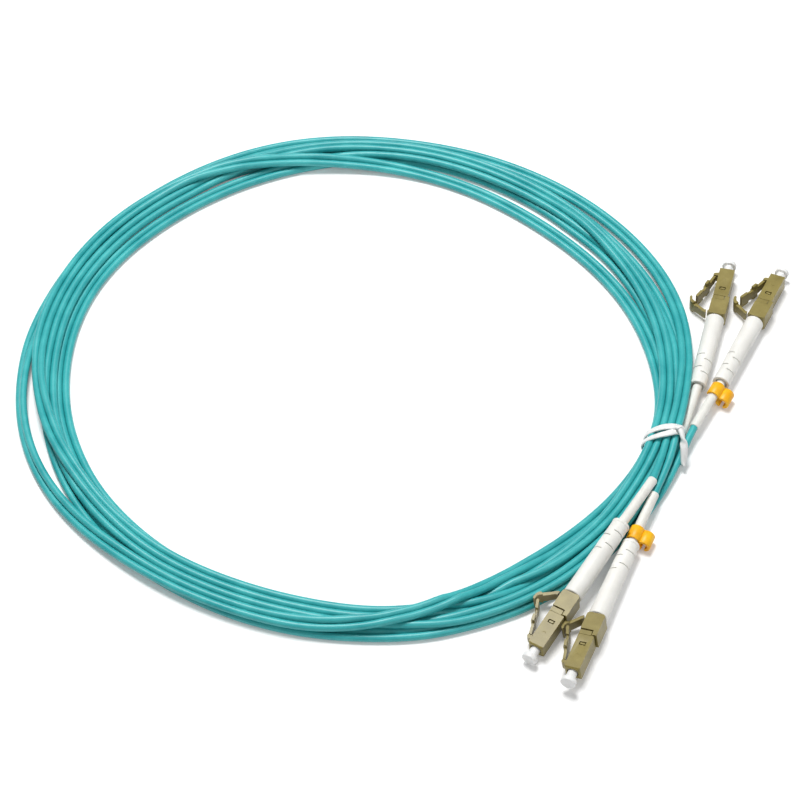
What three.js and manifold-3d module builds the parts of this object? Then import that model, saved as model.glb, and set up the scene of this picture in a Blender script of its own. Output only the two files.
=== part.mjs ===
// Duplex fibre optic patch cord, 3 m, coiled and tied, with two LC-style plugs at each end.
// Millimetres, +Z up. The cord lies on the plane z = 0. The origin is under the middle of the four
// plugs, beside the tie where the two ends of the cord cross. Node names begin with the plug: a1 and
// a2 are the pair at one end, b1 and b2 the pair at the other.
//
// A plug is drawn in its own frame: +X is the mating direction, x = 0 is the front face of its
// housing, and +Z is the side that carries the latch.
import * as THREE from 'three';
import { mergeVertices } from 'three/addons/utils/BufferGeometryUtils.js';
import Module from 'manifold-3d';

const wasm = await Module();
wasm.setup();

// ---- Clearances ---------------------------------------------------------------------------------
const gap = 0.3;            // between pieces that touch or turn against each other
const fit = 0.1;            // round pieces pressed or slid onto one another
const far = 60;             // reach of a cutter past the piece it cuts

// ---- Cord and coil ------------------------------------------------------------------------------
const jacket = { diameter: 2.0, sides: 8, step: 2.4 };
const coil = { x: -13.0, y: 8.8, outerRadius: 98, innerRadius: 85.6, height: 4.4, corner: 1.2, facets: 72 };
const tie = {
  angle: -16.5,             // degrees round the coil, from +X
  width: 2.6,
  thickness: 0.6,
  floorGap: 0.3,            // underside of the tie above the floor
  squeeze: 1.6,             // how far the tie pulls the turns in from outside and above
  innerSqueeze: 3.4,        // and from inside
  tailRadius: 0.7,
};

// ---- Front housing, with the round socket that takes the ferrule ---------------------------------
const housing = { side: 4.52, length: 13.2, chamfer: 0.35, bore: 1.65 };
const shoulder = { x: -4.6, thickness: 0.6, bore: 0.95 };     // stops the ferrule flange
const snap = { x: -8.6, length: 0.6, halfHeight: 0.65, reach: 2.2 };       // catch on the rear body
const tongue = { inner: 1.35, thickness: 0.3, halfHeight: 0.95 };         // arm that carries the catch
const band = { x: -11.6, wall: 1.95, sideTop: -1.2, lineDepth: 0.12, lineWidth: 0.15 };

// ---- Rear body, with the strip that wraps the housing's lower edges -------------------------------
const rear = { length: 5.9, halfWidth: 2.55, top: 2.35, bottom: -2.85, corner: 0.5 };
const rearWall = { thickness: 0.8 };                                    // front wall, holds the tongues
const pocket = { radius: 2.25 };

// ---- Latch lever and trigger ------------------------------------------------------------------------
const latch = { width: 2.4, tipWidth: 3.4, hingeX: -2.9, hingeZ: 3.4, lugSpan: 4.4 };
const trigger = { width: 2.8, tipWidth: 4.2, hingeX: -18.1, hingeZ: 3.0, stubTop: 2.8 };

// ---- Ferrule, flange, spring and guide tube -----------------------------------------------------------
const ferrule = { radius: 0.625, tip: 1.6, back: -6.6, chamfer: 0.2 };
const flange = { radius: 1.2, length: 2.5 };
const guideTube = { radius: 0.45, bore: 0.25, front: -6.9, length: 10.2 };
const spring = { meanRadius: 1.0, wireRadius: 0.14, turns: 4.5, stepsPerTurn: 7, sides: 4 };

// ---- Crimp body, crimp ring and boot --------------------------------------------------------------------
const crimp = { front: -12.6, spigot: 1.05, bore: 0.7, bodyRadius: 1.95, bodyLength: 2.4, tailRadius: 1.35 };
const ring = { thickness: 0.3, length: 4.3 };
const boot = {
  length: 27.5, frontRadius: 2.78, backRadius: 2.5, rim: 0.12, rimLength: 0.9,
  noseLength: 1.9, noseRadius: 1.95, bore: 1.3, mouthRadius: 1.7, mouthDepth: 3.0,
};
const slit = { width: 0.35, depth: 0.55, span: 180, fromMouth: [4.1, 6.1, 9.1, 11.2] };

// ---- Heat-shrink sleeve, dust cap and duplex clip ----------------------------------------------------------
const sleeve = { radius: 1.4, length: 20.3, inserted: 1.5 };
const cap = { neckRadius: 1.35, inserted: 3.4, neckLength: 2.4, headRadius: 2.15, headLength: 1.5, round: 0.3 };
const clip = { length: 4.4, boreRadius: 1.5, outerRadius: 2.0, pitch: 3.5, mouth: 80, fromBoot: 1.3 };

// ---- Where each plug lies ------------------------------------------------------------------------------------
// middle: the middle of its length; heading: where it points; pitch: how far its front rises;
// latchSide: +1 with the latch to the left of its heading, -1 to the right; roll: how far its
// lower side is turned up; triggerTurn, leverTurn: degrees the trigger and the lever are pressed in;
// leg: heading and rise of the sleeve where it leaves the boot; lead: points of the bare jacket
// after the sleeve, up to where it joins the turns.
const plugs = {
  a1: {
    middle: [93.85, 25.4, 2.9], heading: 74.5, pitch: 0, latchSide: 1, roll: 3,
    triggerTurn: -6, leverTurn: 0,
    leg: { heading: 251.4, rise: -0.8 }, lead: [[81.6, -18.2, 2.2], [79.6, -22.0, 1.9]],
  },
  a2: {
    middle: [104.87, 24.28, 3.3], heading: 63.5, pitch: -1, latchSide: 1, roll: 5,
    triggerTurn: -6, leverTurn: 0,
    leg: { heading: 241.2, rise: -0.8 }, lead: [[83.5, -18.9, 3.0], [80.9, -24.2, 2.4], [76.6, -28.9, 2.2]],
  },
  b1: {
    middle: [49.3, -70.6, 4.62], heading: 237.6, pitch: -4.6, latchSide: -1, roll: 3,
    triggerTurn: 0, leverTurn: 0,
    leg: { heading: 58.3, rise: -1 }, lead: [[74.2, -29.0, 5.6], [75.6, -24.2, 4.6]],
  },
  b2: {
    middle: [55.4, -77.2, 3.7], heading: 247.2, pitch: 1, latchSide: -1, roll: 11,
    triggerTurn: 8, leverTurn: 4.5,
    leg: { heading: 66.2, rise: 2.5 }, lead: [[75.6, -31.0, 4.4], [78.1, -25.2, 4.1]],
  },
};
// Each duplex clip holds one leg, and its free channel lies beside that leg, turned down towards
// the floor. The clip on a2 sits end for end to the one on b2.
const clips = {
  duplex_clip_a: { plug: 'a2', turn: -24, reversed: true },
  duplex_clip_b: { plug: 'b2', turn: 20, reversed: false },
};
const tieTail = [
  [78.2, -17.8, 3.2], [79.9, -17.9, 4.9], [81.2, -21.0, 5.6], [82.3, -23.9, 4.8], [83.2, -25.9, 2.8],
  [83.7, -26.9, 1.3],
];

// ---- Materials ------------------------------------------------------------------------------------------------
const plastic = (color, roughness) => new THREE.MeshStandardMaterial({ color, roughness, metalness: 0 });
const metal = (color, roughness) => new THREE.MeshStandardMaterial({ color, roughness, metalness: 1 });
const finish = {
  housing: plastic(0x9e9461, 0.45),
  boot: plastic(0xf1f0ea, 0.55),
  cap: plastic(0xf4f4f2, 0.5),
  jacket: plastic(0x3fc9c6, 0.5),
  clip: plastic(0xffc014, 0.45),
  tie: plastic(0xf6f6f4, 0.5),
  ceramic: plastic(0xf2efe6, 0.2),
  tube: plastic(0xe8e4d8, 0.5),
  steel: metal(0xb9bcc0, 0.3),
  brass: metal(0xcfc9b8, 0.35),
};

// ---- Shape helpers -----------------------------------------------------------------------------------------------
const radians = THREE.MathUtils.degToRad;

function solidOf(geometry) {
  const bare = geometry.clone();
  bare.deleteAttribute('normal');
  bare.deleteAttribute('uv');
  const welded = mergeVertices(bare, 1e-4);
  const corners = welded.index.array;
  const kept = [];
  for (let i = 0; i < corners.length; i += 3) {
    const [a, b, c] = [corners[i], corners[i + 1], corners[i + 2]];
    if (a !== b && b !== c && c !== a) kept.push(a, b, c);
  }
  return new wasm.Manifold(new wasm.Mesh({
    numProp: 3,
    vertProperties: Float32Array.from(welded.attributes.position.array),
    triVerts: Uint32Array.from(kept),
  }));
}

function geometryOf(solid) {
  const mesh = solid.getMesh();
  const geometry = new THREE.BufferGeometry();
  geometry.setAttribute('position', new THREE.Float32BufferAttribute(mesh.vertProperties, 3));
  geometry.setIndex(Array.from(mesh.triVerts));
  return geometry;
}

const cut = (solid, ...tools) => tools.reduce((rest, tool) => rest.subtract(tool), solid);
const join = (solid, ...others) => others.reduce((whole, other) => whole.add(other), solid);

// A round piece about the X axis, from [x, radius] corners that close on themselves or on the axis.
function turned(profile, sides = 14) {
  const points = profile.map(([x, radius]) => new THREE.Vector2(radius, x));
  if (THREE.ShapeUtils.area(points) < 0) points.reverse();
  const closed = points[0].x > 0 ? [...points, points[0].clone()] : points;
  return solidOf(new THREE.LatheGeometry(closed, sides).rotateZ(-Math.PI / 2));
}

const rod = (x0, x1, radius, sides) => turned([[x0, 0], [x0, radius], [x1, radius], [x1, 0]], sides);

// A flat piece cut to an outline of [x, z] corners and reaching width / 2 to each side in Y.
function slab(outline, width, turnAboutX = 0) {
  const shape = new THREE.Shape(outline.map(([x, z]) => new THREE.Vector2(x, z)));
  const geometry = new THREE.ExtrudeGeometry(shape, { depth: width, bevelEnabled: false });
  geometry.rotateX(Math.PI / 2).translate(0, width / 2, 0).rotateX(turnAboutX);
  return solidOf(geometry);
}

function block([x0, x1], [y0, y1], [z0, z1]) {
  const geometry = new THREE.BoxGeometry(x1 - x0, y1 - y0, z1 - z0);
  return solidOf(geometry.translate((x0 + x1) / 2, (y0 + y1) / 2, (z0 + z1) / 2));
}

// The same block on the +Y and the -Y side.
const pairOfBlocks = (xs, [y0, y1], zs) => join(block(xs, [y0, y1], zs), block(xs, [-y1, -y0], zs));

// A tube or wire of the given radius along a curve.
function drawn(curve, radius, sides, steps) {
  const section = new THREE.Shape();
  for (let i = 0; i < sides; i += 1) {
    const angle = (2 * Math.PI * i) / sides;
    const corner = [radius * Math.cos(angle), radius * Math.sin(angle)];
    if (i === 0) section.moveTo(...corner);
    else section.lineTo(...corner);
  }
  section.closePath();
  return solidOf(new THREE.ExtrudeGeometry(section, { extrudePath: curve, steps, bevelEnabled: false }));
}

// ---- Plug pieces -----------------------------------------------------------------------------------------------------
const halfSide = housing.side / 2;
const rearFront = -housing.length - gap;                 // front face of the rear body's block
const rearBack = rearFront - rear.length;
const bootBack = rearBack - gap - boot.length;
const tongueOuter = tongue.inner + tongue.thickness;

function frontHousing() {
  const c = housing.chamfer;
  const outline = [
    [-c, -halfSide], [0, c - halfSide], [0, halfSide - c], [-c, halfSide],
    [-housing.length, halfSide], [-housing.length, -halfSide],
  ];
  const body = slab(outline, housing.side).intersect(slab(outline, housing.side, Math.PI / 2));
  const root = slab([
    [-1.4, halfSide - 0.2], [-1.75, 3.5], [-2.1, 3.85],
    [latch.hingeX + gap / 2, 3.85], [latch.hingeX + gap / 2, halfSide - 0.2],
  ], latch.width + 0.2);
  const shoulderBack = shoulder.x - shoulder.thickness;
  const socket = turned([
    [far, 0], [far, housing.bore], [shoulder.x, housing.bore], [shoulder.x, shoulder.bore],
    [shoulderBack, shoulder.bore], [shoulderBack, housing.bore], [-far, housing.bore], [-far, 0],
  ]);
  const windowX = [snap.x - snap.length / 2 - gap, snap.x + snap.length / 2 + gap];
  const windowZ = [-snap.halfHeight - gap, snap.halfHeight + gap];
  const windows = pairOfBlocks(windowX, [tongue.inner, far], windowZ);
  const slotZ = [-tongue.halfHeight - gap, tongue.halfHeight + gap];
  const slots = pairOfBlocks([-far, windowX[1] + gap], [tongue.inner - gap, tongueOuter + gap], slotZ);
  const underside = block([-far, band.x], [-far, far], [-far, -band.wall]);
  const edges = pairOfBlocks([-far, band.x], [band.wall, far], [-far, band.sideTop]);
  const lines = pairOfBlocks([band.x - band.lineWidth, band.x], [halfSide - band.lineDepth, far], [band.sideTop, far]);
  return cut(join(body, root), socket, windows, slots, underside, edges, lines);
}

function rearBody() {
  const c = rear.corner;
  const side = [
    [rearFront, rear.bottom], [rearFront, rear.top], [rearBack + c, rear.top], [rearBack, rear.top - c],
    [rearBack, rear.bottom + c], [rearBack + c, rear.bottom],
  ];
  const stub = slab([
    [trigger.hingeX - 0.7, rear.top - 0.3], [trigger.hingeX - 0.55, trigger.stubTop],
    [trigger.hingeX + 0.55, trigger.stubTop], [trigger.hingeX + 0.9, rear.top - 0.3],
  ], trigger.width);
  const stripFront = band.x - gap;
  const stripInner = band.wall + gap;
  const strip = block([rearFront - 0.1, stripFront], [-rear.halfWidth, rear.halfWidth], [rear.bottom, -stripInner]);
  const stripSides = pairOfBlocks(
    [rearFront - 0.1, stripFront], [stripInner, rear.halfWidth], [rear.bottom, band.sideTop - gap],
  );
  const tongueZ = [-tongue.halfHeight, tongue.halfHeight];
  const tongueTip = snap.x + snap.length / 2 + 0.1;
  const tongues = pairOfBlocks([rearFront - 0.1, tongueTip], [tongue.inner, tongueOuter], tongueZ);
  const catches = pairOfBlocks(
    [snap.x - snap.length / 2, snap.x + snap.length / 2], [tongueOuter - 0.1, snap.reach],
    [-snap.halfHeight, snap.halfHeight],
  );
  const wallBack = rearFront - rearWall.thickness;
  const bore = turned([
    [far, 0], [far, tongue.inner], [wallBack, tongue.inner], [wallBack, pocket.radius],
    [-far, pocket.radius], [-far, 0],
  ]);
  const body = join(slab(side, 2 * rear.halfWidth), strip, stripSides, tongues, catches, stub);
  return cut(body, bore);
}

function latchLever() {
  const front = latch.hingeX - gap / 2;
  const arm = slab([
    [front, 3.0], [front, 3.85], [-6.2, 4.75], [-6.6, 5.35], [-8.4, 5.85], [-8.8, 5.5],
    [-12.6, 7.15], [-13.2, 7.25], [-13.4, 6.7], [-12.7, 6.3], [-8.4, 4.65],
  ], latch.width);
  const tip = slab([
    [-10.6, 5.45], [-10.6, 6.28], [-12.6, 7.15], [-13.2, 7.25], [-13.4, 6.7], [-12.7, 6.3],
  ], latch.tipWidth);
  const lugs = slab([[-6.5, 4.15], [-6.5, 5.0], [-8.3, 5.5], [-8.3, 4.75]], latch.lugSpan);
  return join(arm, tip, lugs);
}

function triggerArm() {
  const foot = trigger.stubTop + gap + 0.1;
  const arm = slab([
    [trigger.hingeX - 0.6, foot], [-18.4, 4.0], [-17.2, 5.4], [-16.2, 6.9], [-15.4, 7.9], [-14.6, 8.35],
    [-13.3, 8.5], [-12.8, 8.15], [-13.0, 7.75], [-14.2, 7.65], [-14.8, 7.1], [-15.5, 6.1], [-16.6, 4.7],
    [-17.4, 3.75], [trigger.hingeX + 0.6, foot],
  ], trigger.width);
  const tip = slab([
    [-15.8, 7.4], [-15.4, 7.9], [-14.6, 8.35], [-13.3, 8.5], [-12.8, 8.15], [-13.0, 7.75], [-14.2, 7.65],
    [-14.8, 7.1], [-15.2, 6.55],
  ], trigger.tipWidth);
  return join(arm, tip);
}

function ferruleRod() {
  const { radius, tip, back, chamfer } = ferrule;
  return turned([[back, 0], [back, radius], [tip - chamfer, radius], [tip, radius - chamfer], [tip, 0]], 16);
}

const flangeFront = shoulder.x - shoulder.thickness - gap;
const flangeBack = flangeFront - flange.length;

function ferruleFlange() {
  const seat = ferrule.back - fit;
  const chamfer = 0.3;
  return turned([
    [flangeFront, ferrule.radius + fit], [flangeFront, flange.radius - chamfer],
    [flangeFront - chamfer, flange.radius], [flangeBack, flange.radius], [flangeBack, guideTube.radius + fit],
    [seat, guideTube.radius + fit], [seat, ferrule.radius + fit],
  ], 16);
}

function tubeBehindFerrule() {
  const { radius, bore, front, length } = guideTube;
  return turned([[front, bore], [front, radius], [front - length, radius], [front - length, bore]], 12);
}

function coilSpring() {
  const front = flangeBack - gap - spring.wireRadius;
  const back = crimp.front + gap + spring.wireRadius;
  class Helix extends THREE.Curve {
    getPoint(t, target = new THREE.Vector3()) {
      const angle = 2 * Math.PI * spring.turns * t;
      const { meanRadius } = spring;
      return target.set(front + (back - front) * t, meanRadius * Math.cos(angle), meanRadius * Math.sin(angle));
    }
  }
  return drawn(new Helix(), spring.wireRadius, spring.sides, Math.round(spring.turns * spring.stepsPerTurn));
}

const crimpBodyFront = rearFront - rearWall.thickness - gap;
const crimpBodyBack = crimpBodyFront - crimp.bodyLength;
const ringFront = rearBack - gap - 0.3;
const ringBack = ringFront - ring.length;

function crimpBody() {
  const { front, spigot, bore, bodyRadius, tailRadius } = crimp;
  const back = ringBack + 0.2;
  return turned([
    [front, bore], [front, spigot], [crimpBodyFront, spigot], [crimpBodyFront, bodyRadius],
    [crimpBodyBack, bodyRadius], [crimpBodyBack, tailRadius], [back, tailRadius], [back, bore],
  ]);
}

function crimpRing() {
  const inner = crimp.tailRadius + fit;
  const outer = inner + ring.thickness;
  return turned([[ringFront, inner], [ringFront, outer], [ringBack, outer], [ringBack, inner]]);
}

// A ring sector about the X axis, used to cut one slit of the boot.
function slitCutter(x, side) {
  const half = radians(slit.span / 2);
  const inner = boot.backRadius - slit.depth;
  const outer = boot.frontRadius + 1;
  const shape = new THREE.Shape();
  const steps = 6;
  for (let i = 0; i <= steps; i += 1) {
    const angle = -half + (2 * half * i) / steps;
    shape[i === 0 ? 'moveTo' : 'lineTo'](outer * Math.cos(angle), outer * Math.sin(angle));
  }
  for (let i = steps; i >= 0; i -= 1) {
    const angle = -half + (2 * half * i) / steps;
    shape.lineTo(inner * Math.cos(angle), inner * Math.sin(angle));
  }
  const geometry = new THREE.ExtrudeGeometry(shape, { depth: slit.width, bevelEnabled: false });
  geometry.rotateY(-Math.PI / 2).rotateX(side > 0 ? 0 : Math.PI);
  return solidOf(geometry.translate(x + slit.width / 2, 0, 0));
}

function strainBoot() {
  const shell = rearBack - gap;
  const nose = shell + boot.noseLength;
  const ringRoom = ring.thickness + crimp.tailRadius + 1.5 * fit + fit;
  const profile = [
    [nose, crimp.tailRadius + 1.5 * fit], [nose, boot.noseRadius], [shell, boot.noseRadius],
    [shell, boot.frontRadius - 0.2], [shell - 0.2, boot.frontRadius],
    [bootBack + boot.rimLength, boot.backRadius], [bootBack + boot.rimLength, boot.backRadius + boot.rim],
    [bootBack + 0.15, boot.backRadius + boot.rim], [bootBack, boot.backRadius - 0.1],
    [bootBack, boot.mouthRadius], [bootBack + boot.mouthDepth, boot.mouthRadius],
    [bootBack + boot.mouthDepth, boot.bore], [ringBack - gap, boot.bore], [ringBack - gap, ringRoom],
    [ringFront + fit, ringRoom], [ringFront + fit, crimp.tailRadius + 1.5 * fit],
  ];
  const slits = slit.fromMouth.map((distance, i) => slitCutter(bootBack + distance, i % 2 ? 1 : -1));
  return cut(turned(profile), ...slits);
}

function dustCap() {
  const { neckRadius, inserted, neckLength, headRadius, headLength, round } = cap;
  const end = neckLength + headLength;
  const bore = ferrule.radius + gap;
  return turned([
    [-inserted, bore], [-inserted, neckRadius], [neckLength, neckRadius], [neckLength, headRadius - round],
    [neckLength + round, headRadius], [end - round, headRadius], [end, headRadius - round], [end, 0],
    [ferrule.tip + gap, 0], [ferrule.tip + gap, bore],
  ]);
}

// Drawn along +X from the end that is inside the boot.
function shrinkSleeve() {
  const bore = jacket.diameter / 2 + 0.05;
  const { radius, length } = sleeve;
  return turned([[0, bore], [0, radius], [length, radius], [length, bore]], 16);
}

// Two open rings side by side; the first is about the X axis and holds a sleeve.
function duplexClip() {
  const shape = new THREE.Shape();
  const half = radians(clip.mouth / 2);
  shape.absarc(0, 0, clip.outerRadius, half, 2 * Math.PI - half, false);
  shape.absarc(0, 0, clip.boreRadius, 2 * Math.PI - half, half, true);
  const ringOf = (turn, shift) => {
    const geometry = new THREE.ExtrudeGeometry(shape, {
      depth: clip.length, bevelEnabled: false, curveSegments: 10,
    });
    return solidOf(geometry.rotateZ(turn).translate(shift, 0, 0).rotateY(-Math.PI / 2).rotateX(Math.PI / 2));
  };
  const openingOfFirst = radians(180 + 50);
  const openingOfSecond = radians(-50);
  const bores = [0, -clip.pitch].map((y) => {
    const geometry = geometryOf(rod(-far, far, clip.boreRadius, 16));
    return solidOf(geometry.translate(0, y, 0));
  });
  return cut(join(ringOf(openingOfFirst, 0), ringOf(openingOfSecond, clip.pitch)), ...bores);
}

// ---- Assembly --------------------------------------------------------------------------------------------------------------
const assembly = new THREE.Group();
const coilCentre = new THREE.Vector3(coil.x, coil.y, 0);

function node(parent, name, solid, material) {
  const mesh = new THREE.Mesh(geometryOf(solid), material);
  mesh.name = name;
  parent.add(mesh);
  return mesh;
}

const plugParts = {
  front_housing: [frontHousing(), finish.housing],
  latch_lever: [latchLever(), finish.housing],
  rear_body: [rearBody(), finish.housing],
  trigger: [triggerArm(), finish.housing],
  ferrule: [ferruleRod(), finish.ceramic],
  ferrule_flange: [ferruleFlange(), finish.brass],
  ferrule_spring: [coilSpring(), finish.steel],
  guide_tube: [tubeBehindFerrule(), finish.tube],
  crimp_body: [crimpBody(), finish.brass],
  crimp_ring: [crimpRing(), finish.steel],
  boot: [strainBoot(), finish.boot],
  dust_cap: [dustCap(), finish.cap],
};

// Turns a hinged piece about its own hinge line, which runs across the plug.
function turnAbout(mesh, { hingeX, hingeZ }, degrees) {
  const angle = radians(degrees);
  const hinge = new THREE.Vector3(hingeX, 0, hingeZ);
  mesh.rotation.y = angle;
  mesh.position.copy(hinge).sub(hinge.clone().applyAxisAngle(new THREE.Vector3(0, 1, 0), angle));
}

const direction = (heading, rise) => new THREE.Vector3(
  Math.cos(radians(heading)) * Math.cos(radians(rise)),
  Math.sin(radians(heading)) * Math.cos(radians(rise)),
  Math.sin(radians(rise)),
);

// Frame of a plug: its front face is half its length ahead of its middle.
function plugFrame({ middle, heading, pitch, latchSide, roll }) {
  const frame = new THREE.Group();
  frame.rotation.set(radians(-latchSide * (90 + roll)), radians(-pitch), radians(heading), 'ZYX');
  frame.position.set(...middle).addScaledVector(direction(heading, pitch), -bootBack / 2);
  frame.updateMatrixWorld();
  return frame;
}

// Frame of a sleeve: it starts inside the boot's mouth and +X runs on towards the coil.
function legFrame(plug, leg) {
  const frame = new THREE.Group();
  const mouth = new THREE.Vector3(bootBack, 0, 0).applyMatrix4(plug.matrixWorld);
  const along = direction(leg.heading, leg.rise);
  frame.position.copy(mouth).addScaledVector(along, -sleeve.inserted);
  frame.rotation.set(0, radians(-leg.rise), radians(leg.heading), 'ZYX');
  frame.updateMatrixWorld();
  return frame;
}

const placed = (frame, solid) => solidOf(geometryOf(solid).applyMatrix4(frame.matrixWorld));
const placedRod = (frame, x0, x1, radius) => placed(frame, rod(x0, x1, radius, 16));

const coilCuts = [];
const legs = {};
for (const [name, place] of Object.entries(plugs)) {
  const frame = plugFrame(place);
  assembly.add(frame);
  for (const [part, [solid, material]] of Object.entries(plugParts)) {
    const mesh = node(frame, `${name}_${part}`, solid, material);
    if (part === 'trigger') turnAbout(mesh, trigger, place.triggerTurn);
    if (part === 'latch_lever') turnAbout(mesh, latch, -place.leverTurn);
  }
  const leg = legFrame(frame, place.leg);
  assembly.add(leg);
  legs[name] = leg;
  node(leg, `${name}_sleeve`, shrinkSleeve(), finish.boot);

  const end = new THREE.Vector3(sleeve.length + gap, 0, 0).applyMatrix4(leg.matrixWorld);
  const route = [end, ...place.lead.map((point) => new THREE.Vector3(...point))];
  const curve = new THREE.CatmullRomCurve3(route);
  const steps = Math.max(4, Math.round(curve.getLength() / jacket.step));
  node(assembly, `${name}_lead`, drawn(curve, jacket.diameter / 2, jacket.sides, steps), finish.jacket);
  const past = route.at(-1).clone().addScaledVector(curve.getTangent(1), gap);
  const trench = new THREE.CatmullRomCurve3([...route, past]);
  coilCuts.push(
    drawn(trench, jacket.diameter / 2 + 1.5 * gap, jacket.sides, 2 * steps),
    placedRod(frame, bootBack - gap, rearBack, boot.frontRadius + gap),
    placedRod(leg, 0, sleeve.length + 4 * gap, sleeve.radius + gap),
    placed(frame, block([trigger.hingeX - 1.5, -11], [-2.5, 2.5], [halfSide, 9.4])),
  );
}

for (const [name, { plug, turn, reversed }] of Object.entries(clips)) {
  const frame = new THREE.Group();
  frame.position.set(sleeve.inserted + clip.fromBoot + (reversed ? 0 : clip.length), 0, 0);
  frame.rotation.set(radians(turn), 0, reversed ? Math.PI : 0);
  legs[plug].add(frame);
  node(frame, name, duplexClip(), finish.clip);
}

// ---- Coil: the outer shape of all its turns, drawn in by the tie --------------------------------------------------------------
function coilRing() {
  const { outerRadius: outer, innerRadius: inner, height, corner, facets } = coil;
  const profile = [
    [inner + corner, 0], [outer - corner, 0], [outer, corner], [outer, height - corner],
    [outer - corner, height], [inner + corner, height], [inner, height - corner], [inner, corner],
    [inner + corner, 0],
  ].map(([radius, z]) => new THREE.Vector2(radius, z));
  return solidOf(new THREE.LatheGeometry(profile, facets).rotateX(Math.PI / 2));
}

// Frame at the tie: +X out from the coil's centre, +Y along the turns, +Z up.
const tieFrame = new THREE.Group();
tieFrame.position.copy(coilCentre);
tieFrame.rotation.z = radians(tie.angle);
tieFrame.updateMatrixWorld();

const waist = {
  inner: coil.innerRadius + tie.innerSqueeze + tie.thickness,
  outer: coil.outerRadius - tie.squeeze - tie.thickness,
  bottom: tie.floorGap + tie.thickness,
  top: coil.height - tie.squeeze,
};
const loopOf = (grow) => [
  [waist.inner - grow, waist.bottom - grow], [waist.outer + grow, waist.bottom - grow],
  [waist.outer + grow, waist.top + grow], [waist.inner - grow, waist.top + grow],
];

function tieGroove() {
  const room = tie.width + 2 * gap;
  const around = block([coil.innerRadius - 5, coil.outerRadius + 5], [-room / 2, room / 2], [-5, coil.height + 5]);
  return cut(around, slab(loopOf(-gap), room + 2));
}

const ringAtCentre = solidOf(geometryOf(coilRing()).translate(coil.x, coil.y, 0));
node(assembly, 'cord_coil', cut(ringAtCentre, placed(tieFrame, tieGroove()), ...coilCuts), finish.jacket);

const loop = cut(slab(loopOf(tie.thickness), tie.width), slab(loopOf(0), tie.width + 2));
const tail = drawn(new THREE.CatmullRomCurve3(tieTail.map((p) => new THREE.Vector3(...p))), tie.tailRadius, 8, 10);
node(assembly, 'twist_tie', join(placed(tieFrame, loop), tail), finish.tie);

// ---- Origin: under the middle of the four plugs and their clips, on the floor ---------------------------------------------------
const onTheCord = /^(cord_coil|twist_tie)$|_lead$/;
const plugBox = new THREE.Box3();
assembly.updateMatrixWorld(true);
assembly.traverse((item) => {
  if (item.isMesh && !onTheCord.test(item.name)) plugBox.expandByObject(item, true);
});
const middle = plugBox.getCenter(new THREE.Vector3());
assembly.position.set(-middle.x, -middle.y, 0);

const patchCord = new THREE.Group();
patchCord.add(assembly);
export default patchCord;
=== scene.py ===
"""Coiled duplex fibre optic patch cord, 3 m: two jackets side by side, four plugs, clips and a tie."""
import math

import bmesh
import bpy
import numpy as np
from mathutils import Matrix, Vector


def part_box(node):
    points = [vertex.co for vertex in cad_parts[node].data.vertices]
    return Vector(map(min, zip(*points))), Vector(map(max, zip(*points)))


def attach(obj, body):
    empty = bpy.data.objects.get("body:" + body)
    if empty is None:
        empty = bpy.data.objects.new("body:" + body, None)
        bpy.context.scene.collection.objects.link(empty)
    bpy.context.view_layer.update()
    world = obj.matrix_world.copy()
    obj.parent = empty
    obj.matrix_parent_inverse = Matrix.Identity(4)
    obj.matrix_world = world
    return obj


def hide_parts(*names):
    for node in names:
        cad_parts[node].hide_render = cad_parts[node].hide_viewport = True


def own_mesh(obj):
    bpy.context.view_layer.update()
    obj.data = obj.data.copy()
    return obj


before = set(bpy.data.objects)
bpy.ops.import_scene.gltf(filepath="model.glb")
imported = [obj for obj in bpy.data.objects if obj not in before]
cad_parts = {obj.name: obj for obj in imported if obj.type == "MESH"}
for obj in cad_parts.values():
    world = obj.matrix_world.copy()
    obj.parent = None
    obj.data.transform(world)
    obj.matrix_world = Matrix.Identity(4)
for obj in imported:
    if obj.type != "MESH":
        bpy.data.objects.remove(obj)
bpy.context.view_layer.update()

scene = bpy.context.scene
scene.view_settings.view_transform = "Standard"
ROOT = "cord_and_plugs"
MM = 0.001

# ---- Places, in millimetres on the floor the cord lies on. HERE moves them to the row frame ----
COIL = np.array([-13.0, 8.8])
low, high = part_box("cord_coil")
HERE = np.array([(low.x + high.x) / 2 / MM - COIL[0], (low.y + high.y) / 2 / MM - COIL[1], 0.0])
CENTRE = COIL + HERE[:2]
START = 343.5  # angle round the coil at which the first turn begins and the last one ends
TIE = START - 360
BOOT_BACK = -47.2  # local x of a boot's end; the nose of the housing is at 0
SLEEVE = 20.3  # length
PLUGS = {  # the middle of each plug with its boot, and the heading and rise of the leg that leaves it
    "a1": dict(middle=(93.85, 25.4, 2.9), heading=74.5, pitch=0, side=1, roll=3, leg=(251.4, -0.8)),
    "a2": dict(middle=(104.87, 24.28, 3.3), heading=63.5, pitch=-1, side=1, roll=5, leg=(241.2, -0.8)),
    "b1": dict(middle=(49.3, -70.6, 4.62), heading=237.6, pitch=-4.6, side=-1, roll=3, leg=(58.3, -1)),
    "b2": dict(middle=(55.4, -77.2, 3.7), heading=247.2, pitch=1, side=-1, roll=11, leg=(66.2, 2.5)),
}


def turn(x=0.0, y=0.0, z=0.0):
    """Rotation of that many degrees about X, then about Y, then about Z."""
    return (Matrix.Rotation(math.radians(z), 4, "Z") @ Matrix.Rotation(math.radians(y), 4, "Y")
            @ Matrix.Rotation(math.radians(x), 4, "X"))


def heading(degrees, rise):
    """Unit vector at that angle round Z and that angle above the floor."""
    a, b = math.radians(degrees), math.radians(rise)
    return Vector((math.cos(a) * math.cos(b), math.sin(a) * math.cos(b), math.sin(b)))


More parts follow.
